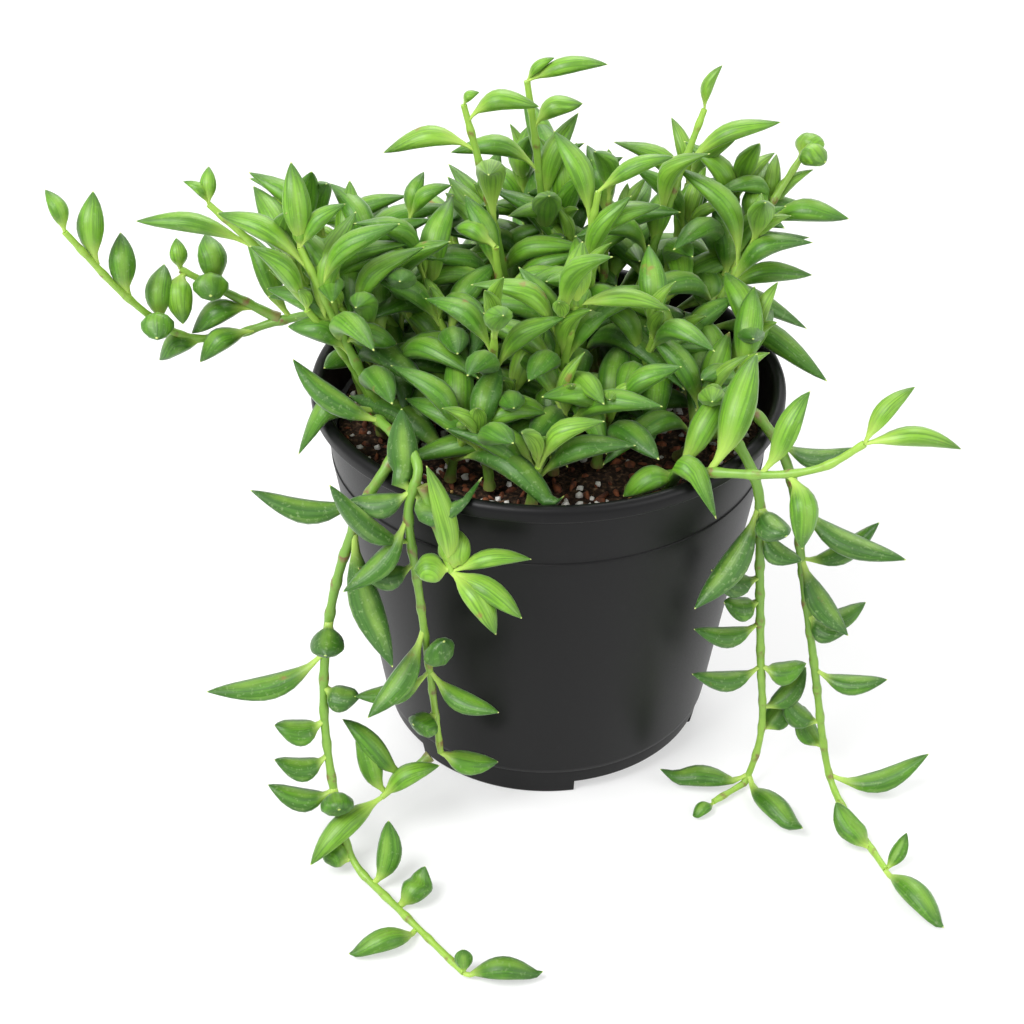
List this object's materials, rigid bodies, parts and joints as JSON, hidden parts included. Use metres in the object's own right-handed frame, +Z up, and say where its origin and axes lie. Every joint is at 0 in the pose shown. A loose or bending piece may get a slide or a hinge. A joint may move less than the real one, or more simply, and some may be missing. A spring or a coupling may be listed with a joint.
{
  "type": "potted string of bananas",
  "caption": "Round moulded nursery pot with a rolled rim, filled with potting mix, holding a succulent whose thin shoots with pointed banana-shaped leaves mound up and trail over the rim.",
  "frame": {"origin": "centre of the pot's standing pad, on its axis, in the plane that the pot stands on", "axes": "+Z up along the pot's axis; the long shoots at the front trail towards -Y; +X is to the right of someone who faces the pot from -Y"},
  "size_m": [0.2197, 0.1698, 0.1801],
  "materials": {
    "pot": "black satin moulded polypropylene",
    "soil": "dark crumbly peat and bark potting mix",
    "grit": "matt white perlite and pumice grains",
    "stem": "smooth pale green succulent stem, browner with age",
    "leaf": "satin succulent leaf skin with a translucent stripe along the leaf"
  },
  "bodies": {
    "root": {"leaf_arching_1": "leaf", "leaf_arching_2": "leaf", "leaf_front_hanging_1": "leaf", "leaf_front_hanging_2": "leaf", "leaf_front_hanging_3": "leaf", "leaf_front_hanging_4": "leaf", "leaf_front_star_1": "leaf", "leaf_front_star_2": "leaf", "leaf_left_arc_1": "leaf", "leaf_left_reach_1": "leaf", "leaf_left_reach_2": "leaf", "leaf_left_upright_1": "leaf", "leaf_left_upright_2": "leaf", "leaf_long_trailer_1": "leaf", "leaf_long_trailer_2": "leaf", "leaf_long_trailer_3": "leaf", "leaf_long_trailer_4": "leaf", "leaf_long_trailer_5": "leaf", "leaf_long_trailer_6": "leaf", "leaf_middle_1": "leaf", "leaf_right_back_1": "leaf", "leaf_right_back_2": "leaf", "leaf_right_back_3": "leaf", "leaf_right_hanging_1": "leaf", "leaf_right_hanging_2": "leaf", "leaf_right_reach_1": "leaf", "leaf_right_reach_2": "leaf", "leaf_right_reach_3": "leaf", "leaf_right_trailer_1": "leaf", "leaf_right_trailer_2": "leaf", "leaf_right_trailer_3": "leaf", "leaf_right_upright_1": "leaf", "leaf_rosette_1": "leaf", "leaf_rosette_2": "leaf", "leaf_tall_1": "leaf", "leaf_tall_2": "leaf", "pot": "pot", "shoot_back_left": "leaf", "shoot_back_right": "leaf", "shoot_centre": "leaf", "shoot_front": "leaf", "shoot_front_right": "leaf", "shoot_left": "leaf", "shoot_right": "leaf", "soil": "soil", "stem_arching": "stem", "stem_front_hanging": "stem", "stem_front_star": "stem", "stem_left_arc": "stem", "stem_left_reach": "stem", "stem_left_upright": "stem", "stem_long_trailer": "stem", "stem_middle": "stem", "stem_right_back": "stem", "stem_right_hanging": "stem", "stem_right_reach": "stem", "stem_right_trailer": "stem", "stem_right_upright": "stem", "stem_rosette": "stem", "stem_tall": "stem"}
  },
  "joints": []
}
